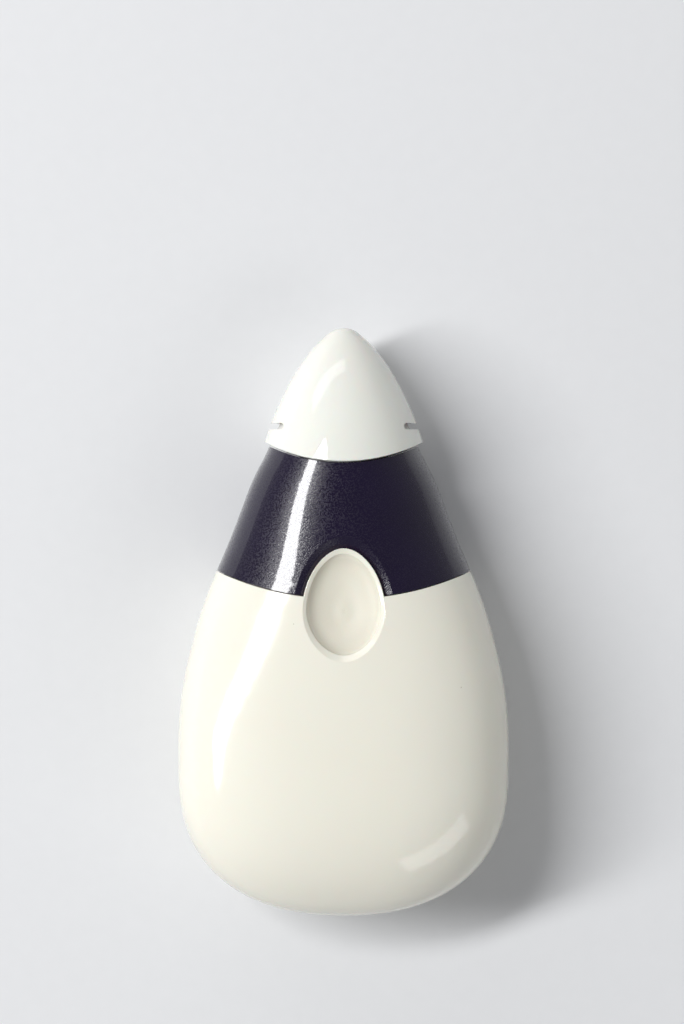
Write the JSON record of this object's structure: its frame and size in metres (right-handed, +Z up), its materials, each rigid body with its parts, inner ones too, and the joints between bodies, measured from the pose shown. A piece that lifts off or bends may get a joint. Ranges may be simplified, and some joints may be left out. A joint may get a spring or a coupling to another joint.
{
  "type": "chalk wheel marker",
  "caption": "Drop-shaped sewing marker with a thumb dish, a dark collar, a pull-out chalk refill that ends in a small toothed wheel, and a pointed push-on cap.",
  "frame": {"origin": "on the table, under the middle of the tool's length and width", "axes": "+Y along the tool to the capped tip, +X across its broad face, +Z up out of the front face. It lies on its rear face as on a table, so its long axis dips 3.5 degrees to the tip"},
  "size_m": [0.0478, 0.0849, 0.0254],
  "materials": {
    "handle_cream": "gloss",
    "collar_aubergine": "satin",
    "cap_white": "high gloss",
    "nose_white": "gloss",
    "fork_natural": "satin",
    "wheel_steel": "brushed",
    "axle_steel": "ground",
    "seal_rubber": "matt",
    "reservoir_clear": "translucent",
    "chalk_white": "powder",
    "plug_grey": "satin",
    "sleeve_natural": "satin"
  },
  "bodies": {
    "handle": {"front_shell": "handle_cream", "rear_shell": "handle_cream", "grip_collar": "collar_aubergine", "cartridge_sleeve": "sleeve_natural"},
    "refill": {"nose_cone": "nose_white", "wheel_fork": "fork_natural", "wheel_axle": "axle_steel", "throat_seal": "seal_rubber", "chalk_reservoir": "reservoir_clear", "chalk_powder": "chalk_white", "reservoir_plug": "plug_grey"},
    "wheel": {"toothed_wheel": "wheel_steel"},
    "cap": {"protective_cap": "cap_white"}
  },
  "joints": [
    {"name": "refill_pull", "type": "slide", "parent": "handle", "child": "refill", "axis": [0, 0.9981, -0.0612], "range_m": [0, 0.045]},
    {"name": "cap_pull", "type": "slide", "parent": "refill", "child": "cap", "axis": [0, 0.9981, -0.0612], "range_m": [0, 0.025]},
    {"name": "wheel_spin", "type": "hinge", "parent": "refill", "child": "wheel", "pos_m": [0, 0.03543, 0.0093], "axis": [0, 0.0612, 0.9981], "continuous": true}
  ]
}
